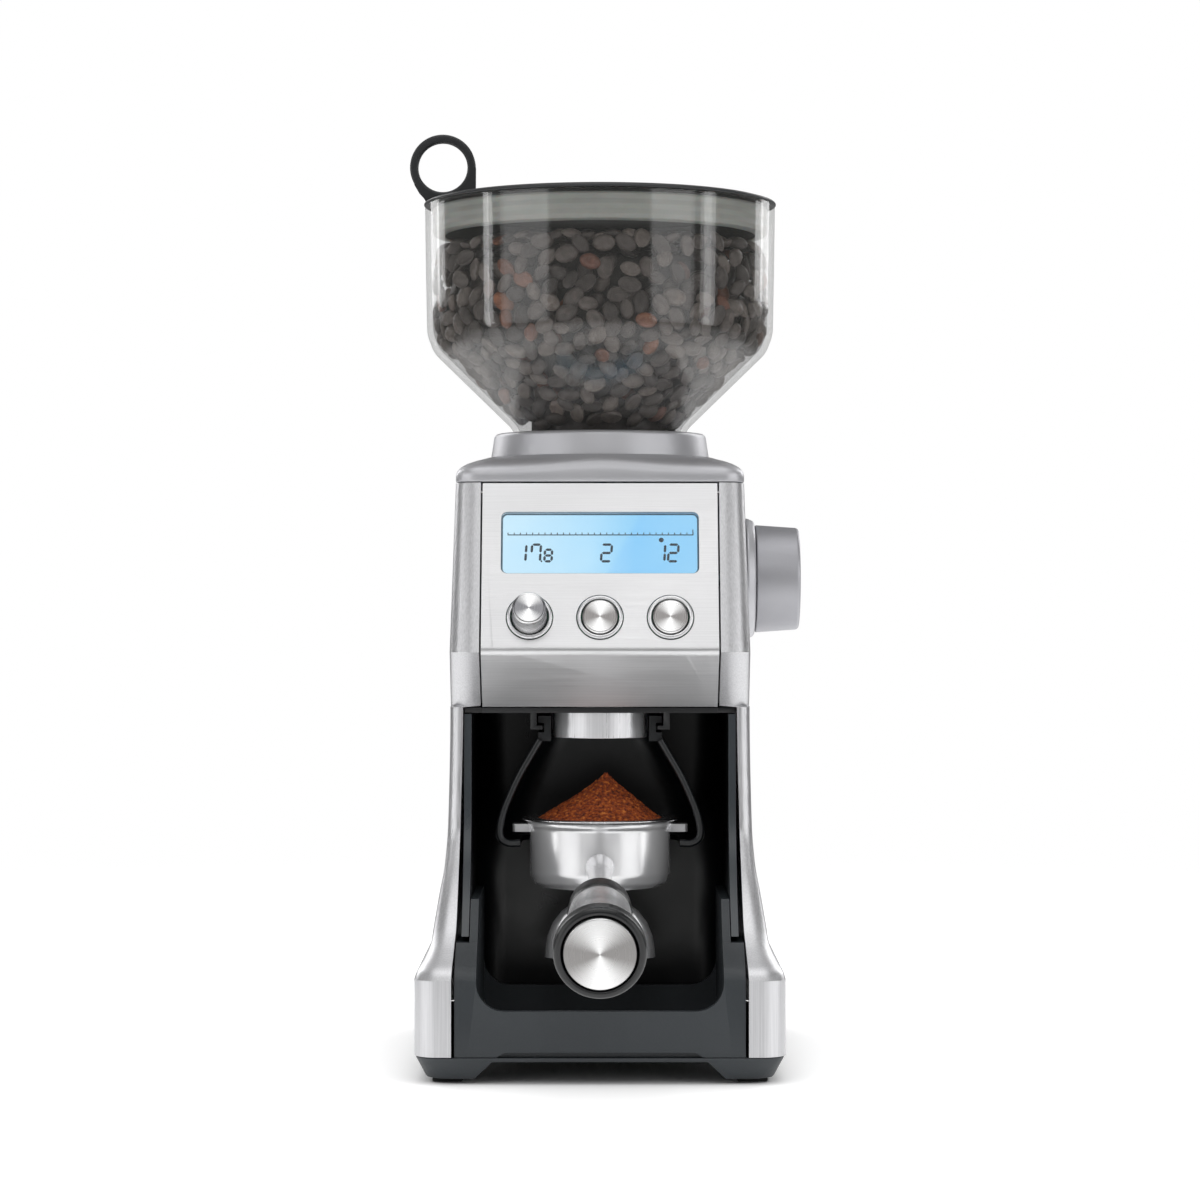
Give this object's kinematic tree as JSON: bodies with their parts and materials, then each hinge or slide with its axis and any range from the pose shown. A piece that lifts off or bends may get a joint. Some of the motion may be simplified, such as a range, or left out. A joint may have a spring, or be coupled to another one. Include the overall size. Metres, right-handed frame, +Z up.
{
  "type": "burr coffee grinder",
  "caption": "Upright conical burr coffee grinder with clear bean hopper, sloping display panel, side grind dial and a portafilter docked in its open bay.",
  "frame": {"origin": "middle of the footprint on the worktop, under the middle of the bounding box", "axes": "+X to the dial side, +Y to the rear of the machine, +Z up; the portafilter handle points to -Y"},
  "size_m": [0.1644, 0.314, 0.3879],
  "materials": {
    "foot_rubber": "moulded, matt",
    "charcoal_plastic": "moulded, fine texture",
    "black_plastic": "moulded, satin",
    "brushed_stainless": "brushed along the panel",
    "satin_silver": "satin silver paint",
    "chrome": "polished",
    "hardened_steel": "machined",
    "nylon_gear": "moulded",
    "circuit_board": "solder mask",
    "display_glass": "clear window over a pale blue display",
    "smoked_clear": "clear, lightly smoked copolyester",
    "clear_silicone": "translucent silicone"
  },
  "bodies": {
    "machine": {"base_plate": "charcoal_plastic", "foot_pad_front_left": "foot_rubber", "foot_pad_front_right": "foot_rubber", "foot_pad_rear_left": "foot_rubber", "foot_pad_rear_right": "foot_rubber", "chassis_liner": "black_plastic", "head_floor": "black_plastic", "left_side_shell": "brushed_stainless", "right_side_shell": "brushed_stainless", "rear_shell": "satin_silver", "top_housing": "satin_silver", "hopper_collar": "satin_silver", "front_panel": "brushed_stainless", "display_lens": "display_glass", "lcd_module": "circuit_board", "control_board": "circuit_board", "power_board": "circuit_board", "amount_bezel": "chrome", "cups_bezel": "chrome", "start_bezel": "chrome", "dial_bezel": "satin_silver", "burr_chamber": "hardened_steel", "spindle_bearing": "hardened_steel", "gear_plate": "hardened_steel", "motor_can": "hardened_steel", "outlet_chute": "black_plastic", "outlet_tube": "chrome", "plunger_spring": "hardened_steel", "microswitch": "black_plastic", "cord_gland": "black_plastic"},
    "burr_rotor": {"burr_spindle": "hardened_steel", "lower_burr": "hardened_steel", "grinds_impeller": "black_plastic", "final_gear": "nylon_gear"},
    "idler": {"idler_gear": "nylon_gear"},
    "motor_rotor": {"motor_shaft": "hardened_steel"},
    "dial": {"dial_knob": "satin_silver", "dial_shaft": "hardened_steel"},
    "adjuster": {"adjust_ring": "hardened_steel", "upper_burr_holder": "black_plastic", "upper_burr": "hardened_steel"},
    "amount_stem": {"encoder_plunger": "nylon_gear"},
    "amount_cap": {"amount_knob": "hardened_steel"},
    "cups_key": {"cups_button": "hardened_steel"},
    "start_key": {"start_button": "hardened_steel"},
    "bay_plunger": {"start_plunger": "black_plastic"},
    "tray": {"grinds_tray": "charcoal_plastic"},
    "cradle_body": {"cradle": "black_plastic"},
    "portafilter": {"portafilter_body": "chrome", "filter_basket": "hardened_steel", "portafilter_handle": "black_plastic", "handle_ferrule": "chrome", "handle_end_disc": "brushed_stainless", "portafilter_spout": "chrome"},
    "hopper_body": {"hopper": "smoked_clear"},
    "lid": {"hopper_lid": "black_plastic", "lid_seal": "clear_silicone"},
    "lock_knob": {"hopper_lock_knob": "black_plastic"}
  },
  "joints": [
    {"name": "burr_spin", "type": "hinge", "parent": "machine", "child": "burr_rotor", "pos_m": [0, 0.0456, 0.165], "axis": [0, 0, 1], "continuous": true},
    {"name": "idler_spin", "type": "hinge", "parent": "machine", "child": "idler", "pos_m": [0, 0.0736, 0.16], "axis": [0, 0, 1], "continuous": true},
    {"name": "motor_spin", "type": "hinge", "parent": "machine", "child": "motor_rotor", "pos_m": [0, 0.0936, 0.156], "axis": [0, 0, 1], "continuous": true},
    {"name": "dial_turn", "type": "hinge", "parent": "machine", "child": "dial", "pos_m": [0.07, 0.0456, 0.2], "axis": [1, 0, 0], "range_deg": [-66, 288]},
    {"name": "adjust_ring_turn", "type": "hinge", "parent": "machine", "child": "adjuster", "pos_m": [0, 0.0456, 0.21], "axis": [0, 0, 1], "range_deg": [-48.5, 11.5]},
    {"name": "amount_press", "type": "slide", "parent": "machine", "child": "amount_stem", "axis": [0, 0.9445, -0.3285], "range_m": [0, 0.0012], "stiffness_N_per_m": 1000, "springref_m": -0.0005},
    {"name": "amount_turn", "type": "hinge", "parent": "amount_stem", "child": "amount_cap", "pos_m": [-0.0284, -0.02553, 0.184], "axis": [0, -0.9445, 0.3285], "continuous": true},
    {"name": "cups_press", "type": "slide", "parent": "machine", "child": "cups_key", "axis": [0, 0.9445, -0.3285], "range_m": [0, 0.0012], "stiffness_N_per_m": 1000, "springref_m": -0.0005},
    {"name": "start_press", "type": "slide", "parent": "machine", "child": "start_key", "axis": [0, 0.9445, -0.3285], "range_m": [0, 0.0012], "stiffness_N_per_m": 1000, "springref_m": -0.0005},
    {"name": "plunger_press", "type": "slide", "parent": "machine", "child": "bay_plunger", "axis": [0, 1, 0], "range_m": [0, 0.003], "stiffness_N_per_m": 300, "springref_m": -0.001, "deforming": ["plunger_spring"]},
    {"name": "tray_slide", "type": "slide", "parent": "machine", "child": "tray", "axis": [0, -1, 0], "range_m": [0, 0.12]},
    {"name": "cradle_slide", "type": "slide", "parent": "machine", "child": "cradle_body", "axis": [0, -1, 0], "range_m": [0, 0.09]},
    {"name": "portafilter_dock", "type": "slide", "parent": "cradle_body", "child": "portafilter", "axis": [0, -1, 0], "range_m": [0, 0.12]},
    {"name": "hopper_lift", "type": "slide", "parent": "machine", "child": "hopper_body", "axis": [0, 0, 1], "range_m": [0, 0.08]},
    {"name": "lid_lift", "type": "slide", "parent": "hopper_body", "child": "lid", "axis": [0, 0, 1], "range_m": [0, 0.06]},
    {"name": "lock_turn", "type": "hinge", "parent": "hopper_body", "child": "lock_knob", "pos_m": [0, 0.0456, 0.246], "axis": [0, 0, 1], "range_deg": [0, 90]}
  ],
  "couplings": [
    {"joint": "idler_spin", "follows": "burr_spin", "ratio": -1.8},
    {"joint": "motor_spin", "follows": "burr_spin", "ratio": 5.4},
    {"joint": "adjust_ring_turn", "follows": "dial_turn", "ratio": -0.16667}
  ]
}
